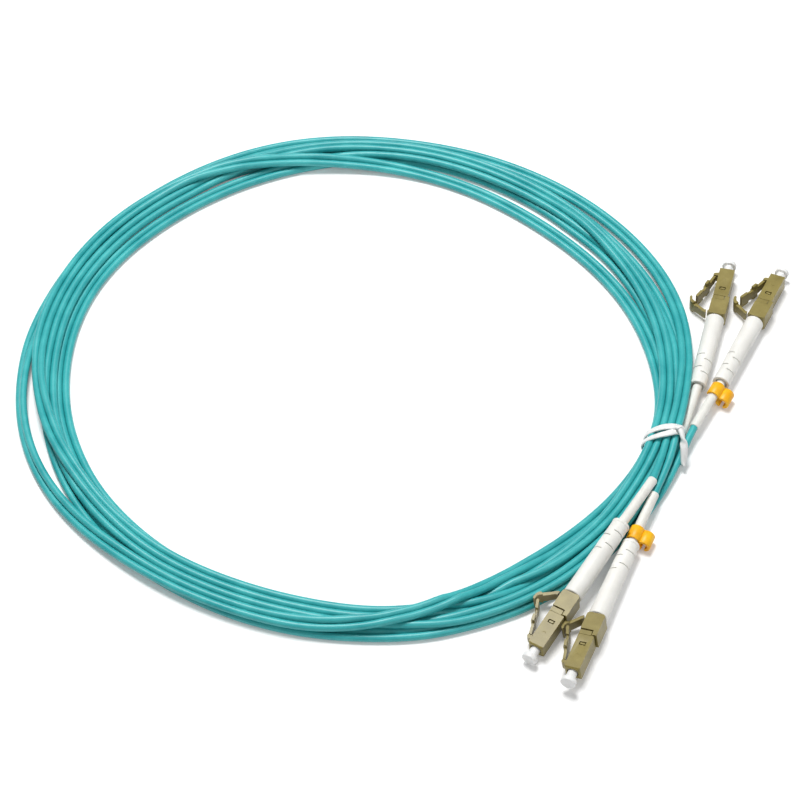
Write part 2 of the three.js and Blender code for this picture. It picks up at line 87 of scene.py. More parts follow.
PLUG, LEG = {}, {}
for name, p in PLUGS.items():
    nose = Vector(p["middle"]) + heading(p["heading"], p["pitch"]) * (-BOOT_BACK / 2)
    spin = turn(-p["side"] * (90 + p["roll"]), -p["pitch"], p["heading"])
    PLUG[name] = Matrix.Translation(nose + Vector(HERE)) @ spin
    mouth = PLUG[name] @ Vector((BOOT_BACK, 0, 0))
    along = heading(*p["leg"])
    LEG[name] = Matrix.Translation(mouth - 1.5 * along) @ turn(0, -p["leg"][1], p["leg"][0])

# ---- Camera --------------------------------------------------------------------------------------
camera_data = bpy.data.cameras.new("camera")
camera_data.lens = 113.7
camera_data.clip_end = 20
camera = bpy.data.objects.new("camera", camera_data)
scene.collection.objects.link(camera)
camera.location = Vector((HERE[0], HERE[1] - 478.3, 570.0)) * MM
camera.rotation_euler = (math.radians(40), 0, 0)
scene.camera = camera


# ---- Materials -----------------------------------------------------------------------------------
def srgb(code):
    """Linear colour of a hex code."""
    out = []
    for i in (0, 2, 4):
        c = int(code[i:i + 2], 16) / 255
        out.append(c / 12.92 if c <= 0.04045 else ((c + 0.055) / 1.055) ** 2.4)
    return (*out, 1.0)


def plastic(name, dark, light, rough, grain, bump, mottle, soft=0.0, soft_radius=0.4, metal=0.0, gloss=0.5):
    """Moulded plastic: two tones in slow patches, a fine grain, roughness that follows the grain."""
    mat = bpy.data.materials.new(name)
    mat.use_nodes = True
    tree = mat.node_tree
    shader = tree.nodes["Principled BSDF"]
    shader.inputs["Metallic"].default_value = metal
    shader.inputs["Specular IOR Level"].default_value = gloss
    if soft:
        shader.inputs["Subsurface Weight"].default_value = soft
        shader.inputs["Subsurface Radius"].default_value = (1.0, 0.95, 0.9)
        shader.inputs["Subsurface Scale"].default_value = soft_radius * MM

    def add(kind, **values):
        node = tree.nodes.new(kind)
        for key, value in values.items():
            node.inputs[key].default_value = value
        return node

    link = tree.links.new
    where = tree.nodes.new("ShaderNodeTexCoord")
    patches = add("ShaderNodeTexNoise", Scale=mottle, Detail=3.0, Roughness=0.55)
    fine = add("ShaderNodeTexNoise", Scale=grain, Detail=4.0, Roughness=0.65)
    for node in (patches, fine):
        link(where.outputs["Object"], node.inputs["Vector"])
    ramp = tree.nodes.new("ShaderNodeValToRGB")
    ramp.color_ramp.elements[0].position = 0.34
    ramp.color_ramp.elements[0].color = srgb(dark)
    ramp.color_ramp.elements[1].position = 0.66
    ramp.color_ramp.elements[1].color = srgb(light)
    both = add("ShaderNodeMath")
    both.operation = "MULTIPLY_ADD"
    both.inputs[1].default_value = 0.35
    link(fine.outputs["Fac"], both.inputs[0])
    less = add("ShaderNodeMath")
    less.operation = "MULTIPLY"
    less.inputs[1].default_value = 0.65
    link(patches.outputs["Fac"], less.inputs[0])
    link(less.outputs[0], both.inputs[2])
    link(both.outputs[0], ramp.inputs["Fac"])
    link(ramp.outputs["Color"], shader.inputs["Base Color"])
    spread = tree.nodes.new("ShaderNodeMapRange")
    spread.inputs["To Min"].default_value = max(0.05, rough - 0.08)
    spread.inputs["To Max"].default_value = min(1.0, rough + 0.10)
    link(fine.outputs["Fac"], spread.inputs["Value"])
    link(spread.outputs["Result"], shader.inputs["Roughness"])
    relief = tree.nodes.new("ShaderNodeBump")
    relief.inputs["Strength"].default_value = 1.0
    relief.inputs["Distance"].default_value = bump * MM
    link(fine.outputs["Fac"], relief.inputs["Height"])
    link(relief.outputs["Normal"], shader.inputs["Normal"])
    return mat


JACKET = plastic("jacket", "249fa3", "45babb", 0.38, 2600, 0.012, mottle=120, gloss=0.52)
OLIVE = plastic("olive_plastic", "7f7238", "96894c", 0.38, 5200, 0.008, mottle=260, gloss=0.5)
BOOT = plastic("boot_plastic", "e6e5df", "f2f1ec", 0.5, 3600, 0.010, mottle=160, soft=0.25, soft_radius=0.6)
SLEEVE_MAT = plastic("sleeve_plastic", "e2e1da", "f0efe9", 0.42, 2400, 0.014, mottle=220, soft=0.2)
CAP = plastic("cap_plastic", "e9e9e7", "f6f6f5", 0.38, 2800, 0.008, mottle=300, soft=0.35, soft_radius=0.8)
CLIP = plastic("clip_plastic", "f5a800", "ffc414", 0.42, 3200, 0.008, mottle=300, soft=0.12)
TIE_MAT = plastic("tie_plastic", "e4e5e3", "f3f4f3", 0.46, 2600, 0.014, mottle=300, soft=0.2)
CERAMIC = plastic("zirconia", "ece8dc", "f4f1e8", 0.14, 5200, 0.001, mottle=400)
TUBE = plastic("guide_tube_plastic", "ddd8c8", "e9e5d8", 0.4, 4200, 0.004, mottle=400)
NICKEL = plastic("nickel", "b9b4a4", "cbc6b6", 0.26, 6200, 0.002, mottle=500, metal=1.0)
STEEL = plastic("steel", "a9adb2", "bcc0c4", 0.28, 6200, 0.002, mottle=500, metal=1.0)


# ---- Mesh helpers --------------------------------------------------------------------------------
def piece(name, mesh, material, body, replaces=(), sharp=35):
    """A visible piece on that body, smooth but for edges sharper than that angle."""
    for face in mesh.polygons:
        face.use_smooth = True
    mesh.set_sharp_from_angle(angle=math.radians(sharp))
    mesh.materials.clear()
    mesh.materials.append(material)
    made = bpy.data.objects.new(name, mesh)
    scene.collection.objects.link(made)
    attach(made, body)
    if replaces:
        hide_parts(*replaces)
    return made


def grid_mesh(name, rings, matrix, closed=False):
    """rings: one loop of points (mm) for each station; the loops are joined one after another."""
    work = bmesh.new()
    made = [[work.verts.new((matrix @ Vector(p)) * MM) for p in ring] for ring in rings]
    count = len(made[0])
    pairs = list(zip(made, made[1:] + ([made[0]] if closed else [])))
    if not closed:
        pairs = pairs[:len(made) - 1]
    for one, two in pairs:
        for i in range(count):
            j = (i + 1) % count
            work.faces.new((one[i], one[j], two[j], two[i]))
    if not closed:
        work.faces.new(list(reversed(made[0])))
        work.faces.new(made[-1])
    bmesh.ops.recalc_face_normals(work, faces=work.faces)
    mesh = bpy.data.meshes.new(name)
    work.to_mesh(mesh)
    work.free()
    return mesh


def ring(x, radius, count=56, change=None):
    """A circle of points about local X; change gives another radius for (x, radius, angle)."""
    out = []
    for i in range(count):
        a = 2 * math.pi * i / count
        r = radius if change is None else change(x, radius, a)
        out.append((x, r * math.cos(a), r * math.sin(a)))
    return out


def rounded(profile, cut, steps=3):
    """Corners of an open (x, radius) outline, each rounded with the radius given beside it."""
    out = []
    for i, (x, r) in enumerate(profile):
        c = cut[i]
        if not c:
            out.append((x, r))
            continue
        here = Vector((x, r))
        before = (Vector(profile[i - 1]) - here).normalized() * c
        after = (Vector(profile[(i + 1) % len(profile)]) - here).normalized() * c
        for k in range(steps + 1):
            t = k / steps
            out.append(tuple((1 - t) ** 2 * (here + before) + 2 * t * (1 - t) * here + t * t * (here + after)))
    return out


def turned(name, profile, matrix, count=56, change=None):
    """A round piece about local X from a closed (x, radius) outline; radius 0 closes it on the axis."""
    return grid_mesh(name, [ring(x, max(r, 0.02), count, change) for x, r in profile], matrix, closed=True)


# ---- The two jackets -----------------------------------------------------------------------------
# One row per turn, from the a plugs to the b plugs: angle round the coil, distance from its centre,
# height, and roll of the pair (0 flat with jacket two outside, 90 with jacket two on top).
TURNS = [
    [(343.5, 98.2, 2.4, 0), (338, 96.3, 1.5, 0), (330, 96.1, 1, 0), (320, 96.3, 1, 0), (310, 96.1, 1, 0),
     (300, 95.9, 1, 0), (290, 94.9, 1, 0), (280, 93.6, 1, 0), (270, 92.7, 1, 0), (260, 92.1, 1, 0),
     (250, 91.6, 1, 0), (240, 91.0, 1, 0), (230, 90.9, 1, 0), (220, 90.8, 1, 0), (210, 90.9, 1, 0),
     (200, 91.3, 1, 0), (190, 91.6, 1, 0), (180, 91.9, 1, 0), (170, 92.6, 1, 0), (160, 93.2, 1, 0),
     (150, 93.5, 1, 0), (140, 93.7, 1, 0), (130, 93.8, 1, 0), (120, 93.7, 1, 0), (110, 93.3, 1, 0),
     (100, 92.8, 1, 0), (90, 93.3, 1, 0), (80, 94.1, 1, 0), (70, 94.6, 1, 0), (60, 94.9, 1, 0),
     (50, 95.0, 1, 0), (40, 94.8, 1, 0), (30, 95.0, 1.2, 0), (20, 95.4, 1.2, 0), (10, 95.7, 1.4, 0),
     (0, 95.5, 2.6, -10), (-10, 95.5, 3.6, -20)],
    [(343.5, 95.5, 3.8, -20), (336, 94.2, 3.0, 0), (330, 93.6, 2.8, 0), (320, 94.0, 2.8, 0),
     (310, 94.6, 2.8, 0), (300, 94.5, 2.8, 0), (290, 93.4, 2.7, 10), (280, 91.8, 2.2, 30), (270, 90.3, 2, 60),
     (260, 89.4, 2, 75), (250, 88.7, 2, 75), (240, 88.4, 1.8, 60), (230, 88.4, 1.3, 30), (220, 88.6, 1.2, 0),
     (210, 88.9, 1.8, 0), (200, 89.2, 2.5, 0), (190, 89.7, 2.8, 0), (180, 90.3, 2.6, 0), (170, 91.1, 2.0, 0),
     (160, 91.4, 2.4, 0), (150, 91.5, 2.6, 0), (140, 91.3, 2.6, 0), (130, 91.2, 2.4, 0), (124, 91.4, 2.3, 0),
     (117, 92.2, 1.8, 0), (110, 93.9, 2.4, 0), (104, 95.0, 2.8, 0), (95, 95.4, 2.8, 0), (85, 94.8, 2.8, 0),
     (75, 94.1, 2.9, 0), (60, 93.7, 3, 0), (50, 93.1, 3, 0), (40, 92.5, 3, 0), (30, 92.3, 3, 0),
     (20, 92.7, 3, 0), (10, 92.9, 3, 0), (0, 92.3, 3.2, 0), (-10, 92.0, 4.1, 0)],
    [(343.5, 92.0, 4.4, 0), (336, 91.3, 3.6, 0), (330, 90.6, 3.0, 0), (320, 89.9, 2.9, 0),
     (310, 89.5, 2.7, 0), (300, 89.0, 1.9, 0), (290, 88.4, 1, 0), (280, 87.8, 1, 0), (270, 87.1, 1, 0),
     (260, 86.0, 1, 0), (250, 85.0, 1, 0), (240, 84.5, 1, 0), (230, 85.0, 1, 0), (220, 85.5, 1, 0),
     (210, 86.1, 1, 0), (200, 86.4, 1, 0), (190, 86.7, 1, 0), (180, 87.0, 1, 0), (170, 87.8, 1, 0),
     (160, 88.3, 1, 0), (150, 88.1, 1, 0), (140, 87.2, 1, 0), (130, 87.1, 1, 0), (120, 87.5, 1, 0),
     (110, 88.3, 1, 10), (102, 89.1, 1.4, 35), (94, 90.0, 1.9, 65), (86, 90.9, 2, 85), (78, 91.0, 2, 88),
     (70, 90.3, 2, 88), (60, 89.3, 2, 85), (50, 89.2, 2, 80), (40, 90.0, 1.8, 60), (32, 90.9, 1.3, 25),
     (20, 91.6, 1, 0), (10, 92.4, 1, 0), (0, 93.6, 1, 0), (-10, 94.2, 1.4, 0)],
    [(343.5, 93.9, 1.8, 0), (336, 92.8, 1.2, 0), (330, 92.3, 1, 0), (320, 91.9, 1, 0), (310, 91.7, 1, 0),
     (300, 91.6, 1.3, 0), (290, 90.9, 2.8, 0), (280, 89.2, 2.8, 0), (270, 87.4, 3, 0),
     (260, 85.7, 3, 0), (250, 84.9, 3, 0), (240, 85.2, 3, 0), (230, 86.2, 3, 0),
     (220, 87.4, 3.1, 0), (210, 88.6, 3.4, 0), (200, 89.9, 3.7, 0), (190, 91.6, 3.6, 0), (180, 93.2, 3.2, 0),
     (170, 94.7, 3.1, 0), (160, 95.8, 3.1, 0), (150, 96.4, 3.1, 0), (140, 96.5, 3.1, 0),
     (130, 95.7, 3.4, 0), (120, 93.7, 4.2, 0), (110, 91.3, 4.2, 0), (100, 89.0, 3.4, 0),
     (90, 87.4, 2.2, 0), (80, 86.2, 1.2, 0), (70, 85.0, 1, 0), (60, 83.7, 1, 0), (50, 83.1, 1, 0),
     (40, 83.6, 1, 0), (30, 85.1, 1, 0), (20, 86.7, 1, 0), (10, 88.3, 1, 0), (0, 90.1, 1.2, 10),
     (-6, 91.0, 1.8, 35), (-10, 91.5, 2.1, 55)],
    [(343.5, 91.4, 2.3, 60), (337, 90.4, 1.6, 25), (330, 88.5, 1, 0), (322, 86.7, 1, 0), (315, 85.6, 1.1, 0),
     (308, 85.1, 1.2, 0), (300, 85.9, 1.6, 0), (292, 87.7, 2.8, 0), (284, 89.9, 3.8, 0), (276, 91.8, 4.0, 0),
     (268, 92.2, 3.4, 0), (260, 91.5, 3.0, 0), (250, 90.9, 2.8, 0), (240, 90.9, 2.8, 0),
     (230, 92.0, 2.8, 0), (222, 93.6, 2.6, -10), (214, 95.8, 2.1, -30), (206, 97.6, 1.9, -50),
     (198, 98.6, 1.9, -62), (190, 99.0, 1.9, -65), (180, 98.4, 1.9, -60), (170, 97.7, 1.7, -45),
     (160, 97.0, 1.3, -20), (150, 96.8, 1, 0), (140, 96.9, 1, 0), (130, 97.3, 1, 0), (120, 98.3, 1, 0),
     (110, 99.1, 1, 0), (100, 99.1, 1, 0), (90, 98.4, 1, 0), (80, 97.7, 1, 0), (75, 97.5, 1, 0),
     (70, 97.8, 1, 0), (60, 98.8, 1, 0), (50, 99.8, 1, 0), (40, 100.4, 1.1, 0), (30, 101.0, 1.2, 0),
     (22, 101.3, 1.4, 0), (15, 100.6, 1.8, 0), (9, 99.2, 2.6, 0), (3, 97.6, 3.6, 0), (-3, 96.2, 4.5, 0),
     (-10, 95.2, 5.4, 0)],
]
LAST = (95.0, 5.7, 0)  # distance, height and roll at the end of the last turn
STEP = 1.5  # degrees from one point of a jacket to the next
PER = int(360 / STEP)
RADIUS = 1.1
PITCH = 2 * RADIUS
SETTLE, SETTLE_LATE = 400, 360  # steps in all, and steps before the lanes let go
CLEAR = 0.02
# Distance and height of both jackets at the first points after the a sleeves and the last before the b sleeves
END_A = [[(97.6, 2.2), (99.6, 2.9)], [(97.0, 2.0), (99.0, 2.6)]]
END_B = [[(93.9, 5.7), (96.1, 5.7)], [(94.1, 5.5), (96.4, 5.4)], [(94.3, 5.25), (96.75, 5.0)],
         [(94.55, 5.2), (97.1, 4.7)], [(94.85, 5.45), (97.15, 4.5)]]


def at(r, z, angle):
    """The point at that distance from the coil's centre, height and angle."""
    a = math.radians(angle)
    return np.array([*(CENTRE + r * np.array([math.cos(a), math.sin(a)])), z])


def blocks():
    """Straight solids that the turns pass: two ends (mm) and the radius of each."""
    out = []
    for name in PLUGS:
        boot = (PLUG[name] @ Vector((-19.6, 0, 0)), PLUG[name] @ Vector((BOOT_BACK, 0, 0)), 2.75)
        sleeve = (LEG[name] @ Vector((0, 0, 0)), LEG[name] @ Vector((SLEEVE, 0, 0)), 1.42)
        trigger = [(PLUG[name] @ Vector((-18.0, y, 3.2)), PLUG[name] @ Vector((-13.6, y, 8.1)), 0.7)
                   for y in (-1.7, 0, 1.7)]
        out += [boot, sleeve, *trigger]
    return [(np.array(a), np.array(b), r) for a, b, r in out]


def in_space(P, direction):
    """Points from their distance and height in the section at each direction."""
    return np.concatenate([CENTRE + P[:, :, :1] * direction[:, None, :], P[:, :, 1:]], 2)


def lay_turns():
    """Lets the ten jackets settle in and between their lanes, clear of each other and of the floor."""
    rows = np.array([(a - 360 * k, r, z, roll) for k, lane in enumerate(TURNS) for a, r, z, roll in lane]
                    + [(START - 360 * len(TURNS), *LAST)])
    count = len(TURNS) * PER + 1
    angle = START - STEP * np.arange(count)
    order = np.argsort(rows[:, 0])
    lanes = [np.interp(angle, rows[order, 0], rows[order, c]) for c in (1, 2, 3)]
    window = np.exp(-0.5 * (np.arange(-8, 9) / 2.4) ** 2)
    window /= window.sum()
    r, z, roll = [np.convolve(np.pad(v, 8, mode="edge"), window, "valid") for v in lanes]
    a, b = np.cos(np.radians(roll)) * PITCH / 2, np.sin(np.radians(roll)) * PITCH / 2
    goal = np.stack([np.stack([r - a, z - b], 1), np.stack([r + a, z + b], 1)], 1)
    rng = np.random.default_rng(11)
    kernel = np.exp(-0.5 * (np.arange(-40, 41) / 13.0) ** 2)
    wander = np.convolve(rng.normal(size=count), kernel / np.sqrt((kernel ** 2).sum()), "same")
    goal[:, :, 0] += 0.18 * wander[:, None]
    goal[:len(END_A)] = END_A
    goal[-1] = END_B[0]
    P = goal.copy()
    off = (angle - START + 180) % 360 - 180
    floor = RADIUS + CLEAR + 0.8 * np.exp(-(off / 4.5) ** 2)  # the tie's wire lies under the turns
    direction = np.stack([np.cos(np.radians(angle)), np.sin(np.radians(angle))], 1)
    solids = blocks()
    for step in range(SETTLE):
        P += (0.1 if step < SETTLE_LATE else 0.02) * (goal - P)
        for _ in range(2):
            P[1:-1] += 0.4 * (0.5 * (P[:-2] + P[2:]) - P[1:-1])
        # the two jackets of a pair stay joined
        gap = P[:, 1] - P[:, 0]
        size = np.linalg.norm(gap, axis=1, keepdims=True)
        fix = 0.5 * (size - PITCH) * gap / size
        fix[:len(END_A)] = 0
        P[:, 0] += fix
        P[:, 1] -= fix
        # turns push each other apart where they are in the same section
        whole = P[:-1].reshape(len(TURNS), PER, 2, 2)
        for k in range(len(TURNS)):
            for m in range(k + 1, len(TURNS)):
                for i in range(2):
                    for j in range(2):
                        d = whole[m, :, j] - whole[k, :, i]
                        n = np.linalg.norm(d, axis=1, keepdims=True)
                        push = 0.5 * np.clip(PITCH - n, 0, None) * d / np.maximum(n, 1e-6)
                        whole[m, :, j] += push
                        whole[k, :, i] -= push
        # and make room for the last jackets on their way to the b sleeves
        for c, pair in enumerate(END_B[1:], 1):
            for top in pair:
                for k in range(len(TURNS)):
                    for i in range(2):
                        d = whole[k, c, i] - np.array(top)
                        n = np.linalg.norm(d)
                        if n < PITCH:
                            whole[k, c, i] += (PITCH - n) * d / max(n, 1e-6)
        P[:-1] = whole.reshape(-1, 2, 2)
        if step % 4 == 0:
            for one, two, radius in solids:
                xyz = in_space(P, direction)
                run = two - one
                t = np.clip(((xyz - one) @ run) / (run @ run), 0, 1)
                away = xyz - (one + t[..., None] * run)
                n = np.linalg.norm(away, axis=2)
                short = np.clip(radius + RADIUS + CLEAR - n, 0, None)
                unit = away / np.maximum(n, 1e-6)[..., None]
                radial = (unit[:, :, :2] * direction[:, None, :]).sum(2)
                move = np.stack([radial, unit[:, :, 2]], 2)
                P += short[..., None] * move / np.maximum((move ** 2).sum(2), 0.3)[..., None]
        P[:, :, 1] = np.maximum(P[:, :, 1], floor[:, None])
        P[:len(END_A)] = goal[:len(END_A)]
        P[-1] = goal[-1]
    return in_space(P, direction)


def end_points(name):
    """From inside the sleeve to its end."""
    return [np.array(LEG[name] @ Vector((SLEEVE - back, 0, 0))) for back in (6.0, 3.0, 0.0)]


settled = lay_turns()
for j, (one, two) in enumerate((("a1", "b1"), ("a2", "b2"))):
    lead = [at(*pair[j], START - STEP * c) for c, pair in enumerate(END_B[1:], 1)]
    route = np.array(end_points(one) + list(settled[:, j]) + lead + end_points(two)[::-1])
    # ease the joins at both ends
    for _ in range(6):
        for first in (3, len(route) - 9):
            idx = np.arange(first, first + 6)
            route[idx] += 0.35 * (0.5 * (route[idx - 1] + route[idx + 1]) - route[idx])
    curve = bpy.data.curves.new(f"jacket_{j + 1}", "CURVE")
    curve.dimensions = "3D"
    curve.bevel_depth = RADIUS * MM
    curve.bevel_resolution = 6
    curve.use_fill_caps = True
    spline = curve.splines.new("POLY")
    spline.points.add(len(route) - 1)
    spline.points.foreach_set("co", np.c_[route * MM, np.ones(len(route))].ravel())
    spline.use_smooth = True
    curve.materials.append(JACKET)
    cord = bpy.data.objects.new(f"jacket_{j + 1}", curve)
    scene.collection.objects.link(cord)
    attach(cord, ROOT)
    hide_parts("cord_coil", f"{one}_lead", f"{two}_lead")


# ---- Twist tie: a coated wire twice round the turns, its ends twisted and turned down ------------------
def smooth_path(points, per=10):
    """A smooth curve through the points, with that many steps between two of them."""
    points = [np.array(p, float) for p in points]
    full = [2 * points[0] - points[1]] + points + [2 * points[-1] - points[-2]]
    out = []
    for i in range(1, len(full) - 2):
        p0, p1, p2, p3 = full[i - 1:i + 3]
        for k in range(per):
            t = k / per
            out.append(0.5 * (2 * p1 + (p2 - p0) * t + (2 * p0 - 5 * p1 + 4 * p2 - p3) * t * t
                              + (3 * p1 - p0 - 3 * p2 + p3) * t ** 3))
    return out + [points[-1]]


def strip(name, path, wide, thick, up=None, count=14):
    """A flat-sided wire of that width and thickness along a path; its flat lies to the bundle."""
    path = [Vector(p) for p in path]
    rings = []
    for i, p in enumerate(path):
        t = (path[min(i + 1, len(path) - 1)] - path[max(i - 1, 0)]).normalized()
        across = Vector((p.x - CENTRE[0], p.y - CENTRE[1], 0))
        out = across.normalized() * (across.length - 93.5) + Vector((0, 0, p.z - 3.6))
        if up is not None:
            out = Vector(up(i / (len(path) - 1)))
        out = (out - out.dot(t) * t).normalized()
        side = t.cross(out)
        loop = []
        for k in range(count):
            a = 2 * math.pi * k / count
            c, s = math.cos(a), math.sin(a)
            loop.append(p + side * (wide / 2 * math.copysign(abs(c) ** 0.7, c))
                        + out * (thick / 2 * math.copysign(abs(s) ** 0.8, s)))
        rings.append([tuple(q) for q in loop])
    return grid_mesh(name, rings, Matrix.Identity(4))


def tie_loop(lean, shift):
    """Round the turns, from the knot down the outside, underneath, up the inside and back."""
    spots = [(96.4, 7.5), (97.6, 6.9), (98.15, 5.6), (98.2, 3.6), (98.1, 1.8), (97.0, 0.75), (94.0, 0.58),
             (91.0, 0.58), (88.7, 0.85), (87.7, 2.2), (87.9, 4.0), (89.3, 5.7), (91.8, 7.0), (94.4, 7.55),
             (96.2, 7.65)]
    return [at(r, z, TIE + 0.35 + shift * (1.0 - (0.62 * math.exp(-((r - 97.5) / 3.0) ** 2) if z > 5 else 0))
               + lean * (r - 95) / 8) for r, z in spots]


tie_one = strip("tie_loop_1", smooth_path(tie_loop(1.9, 1.1)), 2.1, 0.8)
tie_two = strip("tie_loop_2", smooth_path(tie_loop(1.9, -0.85)), 1.9, 0.8)
tail = smooth_path([at(95.2, 7.8, TIE + 0.9), at(96.2, 8.0, TIE + 0.9), at(97.6, 7.9, TIE + 0.4),
                    at(98.7, 7.1, TIE - 0.8), at(99.6, 5.8, TIE - 1.9), at(100.2, 3.9, TIE - 2.9),
                    at(100.6, 1.9, TIE - 3.8)])
tail_mesh = strip("tie_tail", tail, 2.3, 1.25,
                  up=lambda t: (math.cos(7.5 * t), math.sin(7.5 * t), 1.2 * math.cos(7.5 * t) + 0.6))
piece("tie_loop_1", tie_one, TIE_MAT, ROOT, ("twist_tie",), 60)
piece("tie_loop_2", tie_two, TIE_MAT, ROOT, sharp=60)
piece("tie_tail", tail_mesh, TIE_MAT, ROOT, sharp=60)


# ---- Boots, sleeves and caps ---------------------------------------------------------------------
# Local x and side of each slit in a boot
SLITS = [(BOOT_BACK + d, (-1 if i % 2 == 0 else 1)) for i, d in enumerate((4.1, 6.1, 9.1, 11.2))]


def boot_mesh(name, matrix):
    """A tapered tube with a collar at its end and slits that run half way round."""
    front = -19.7 + 0.9
    stations = [(-22.6, 1.75), (front, 1.75), (front, 1.95), (-19.72, 1.97), (-19.74, 2.42), (-19.78, 2.62),
                (-19.95, 2.74), (-20.2, 2.78)]
    xs = [-20.2 - 1.2 * k for k in range(1, 12)]
    for x, _ in sorted(SLITS, reverse=True):
        xs += [x + 0.62, x + 0.24, x + 0.175, x + 0.15, x - 0.15, x - 0.175, x - 0.24, x - 0.62]
    xs += [-46.2, -46.28]
    for x in sorted(set(round(x, 3) for x in xs), reverse=True):
        stations.append((x, 2.78 - 0.28 * (-20.2 - x) / 26.0))
    stations += [(-46.34, 2.59), (-46.42, 2.62), (-47.0, 2.62), (-47.14, 2.56), (-47.2, 2.44), (-47.2, 1.85),
                 (-47.12, 1.74), (-46.95, 1.7), (-44.2, 1.7), (-44.2, 1.3), (-24.6, 1.3), (-24.6, 1.75)]

    def cut(x, radius, angle):
        if radius < 2.3:
            return radius
        for where, side in SLITS:
            if abs(x - where) < 0.16:
                middle = math.pi / 2 * side
                d = abs((angle - middle + math.pi) % (2 * math.pi) - math.pi)
                edge = math.radians(88)
                t = min(1.0, max(0.0, (edge - d) / math.radians(5)))
                return radius - 0.55 * t
        return radius

    return turned(name, stations, matrix, 72, cut)


def wavy(seed, size):
    """A change of radius for shrunk tube: a slow ripple of that size."""
    rng = np.random.default_rng(seed)
    phase = rng.uniform(0, 6.28, 6)

    def change(x, radius, angle):
        return radius + size * (math.sin(1.9 * x + phase[0] + math.sin(2 * angle + phase[1]))
                                + 0.6 * math.sin(3 * angle + 0.8 * x + phase[2]))
    return change


def cap_mesh(name, matrix):
    """A hollow stem and a round head with a shallow dish."""
    outline = [(-3.4, 0.925), (-3.4, 1.35), (2.4, 1.35), (2.4, 2.15), (3.9, 2.15), (3.9, 0.02), (1.9, 0.02),
               (1.9, 0.925)]
    profile = rounded(outline, [0.08, 0.2, 0.12, 0.28, 0.42, 0, 0, 0], 4)
    out = []
    for x, r in profile:
        if abs(x - 3.9) < 1e-6 and r < 0.05:
            out += [(3.88, 1.1), (3.84, 0.95), (3.82, 0.5), (3.81, 0.02)]
        else:
            out.append((x, r))
    return turned(name, out, matrix, 56)


def sleeve_mesh(name, matrix, seed):
    """Shrunk tube with rounded ends."""
    xs = np.linspace(0.25, SLEEVE - 0.25, 46)
    outline = [(0.0, 1.05), (0.0, 1.28), (0.08, 1.36)] + [(x, 1.4) for x in xs]
    outline += [(SLEEVE - 0.06, 1.36), (SLEEVE, 1.27), (SLEEVE, 1.05)]
    shake = wavy(seed, 0.012)
    return turned(name, outline, matrix, 40, lambda x, r, a: shake(x, r, a) if r > 1.39 else r)


def bevelled(node, name, width, segments=2):
    """A copy of a CAD node's solid with its edges rounded."""
    work = bmesh.new()
    work.from_mesh(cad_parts[node].data)
    bmesh.ops.remove_doubles(work, verts=work.verts, dist=1e-6)
    bmesh.ops.dissolve_limit(work, angle_limit=math.radians(2), verts=work.verts, edges=work.edges)
    edges = [e for e in work.edges if len(e.link_faces) == 2
             and math.radians(24) < e.calc_face_angle(0) and e.calc_length() > 0.25 * MM]
    bmesh.ops.bevel(work, geom=edges, offset=width * MM, segments=segments, profile=0.6, affect="EDGES",
                    clamp_overlap=True)
    mesh = bpy.data.meshes.new(name)
    work.to_mesh(mesh)
    work.free()
    return mesh


def half_moon(name, matrix, x, side):
    """The small raised crescent on the flank of a housing."""
    spots = []
    for k in range(15):
        a = math.radians(-90 + 180 * k / 14)
        spots.append((x - 0.44 * math.cos(a) + 0.2, side * 2.27, 0.44 * math.sin(a)))
    rings = []
    for i, p in enumerate(spots):
        p = Vector(p)
        t = (Vector(spots[min(i + 1, 14)]) - Vector(spots[max(i - 1, 0)])).normalized()
        out = Vector((0, side, 0))
        across = t.cross(out)
        w = 0.11 * (0.35 + 0.65 * math.sin(math.pi * i / 14))
        rings.append([tuple(p + across * w * math.cos(a) + out * 0.07 * math.sin(a))
                      for a in [2 * math.pi * k / 10 for k in range(10)]])
    return grid_mesh(name, rings, matrix)


def broaden(mesh, matrix):
    """The lever spreads a little behind its hinge."""
    back = matrix.inverted()
    for vert in mesh.vertices:
        p = back @ (vert.co / MM)
        t = min(1.0, max(0.0, (-5.2 - p.x) / 2.0))
        p.y *= 1 + 0.25 * t * t * (3 - 2 * t)
        vert.co = (matrix @ p) * MM
        vert.co.z = max(vert.co.z, 0.00002)


for n, (name, matrix) in enumerate(PLUG.items()):
    piece(f"{name}_boot_shell", boot_mesh(f"{name}_boot_shell", matrix), BOOT, ROOT,
          (f"{name}_boot",), 30)
    piece(f"{name}_cap_shell", cap_mesh(f"{name}_cap_shell", matrix), CAP, f"{name}_cap",
          (f"{name}_dust_cap",), 50)
    piece(f"{name}_shrink_tube", sleeve_mesh(f"{name}_shrink_tube", LEG[name], n), SLEEVE_MAT, ROOT,
          (f"{name}_sleeve",), 50)
    for part, body, width in (("front_housing", ROOT, 0.12), ("rear_body", ROOT, 0.14),
                              ("latch_lever", f"{name}_latch_arm", 0.12),
                              ("trigger", f"{name}_trigger_arm", 0.12)):
        label = f"{name}_{part}_moulding"
        mesh = bevelled(f"{name}_{part}", label, width)
        if part == "latch_lever":
            broaden(mesh, matrix)
        piece(label, mesh, OLIVE, body, (f"{name}_{part}",), 18)
    for side in (-1, 1):
        label = f"{name}_mark_{'l' if side < 0 else 'r'}"
        piece(label, half_moon(label, matrix, -4.75, side), OLIVE, ROOT, (), 60)
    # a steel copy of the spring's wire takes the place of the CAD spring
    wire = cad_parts[f"{name}_ferrule_spring"].data.copy()
    spring = piece(f"{name}_spring_wire", wire, STEEL, ROOT, (f"{name}_ferrule_spring",), 40)
    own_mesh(spring)
    for part, material in (("ferrule", CERAMIC), ("ferrule_flange", NICKEL), ("guide_tube", TUBE),
                           ("crimp_body", NICKEL), ("crimp_ring", STEEL)):
        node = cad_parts[f"{name}_{part}"]
        node.data.materials.clear()
        node.data.materials.append(material)


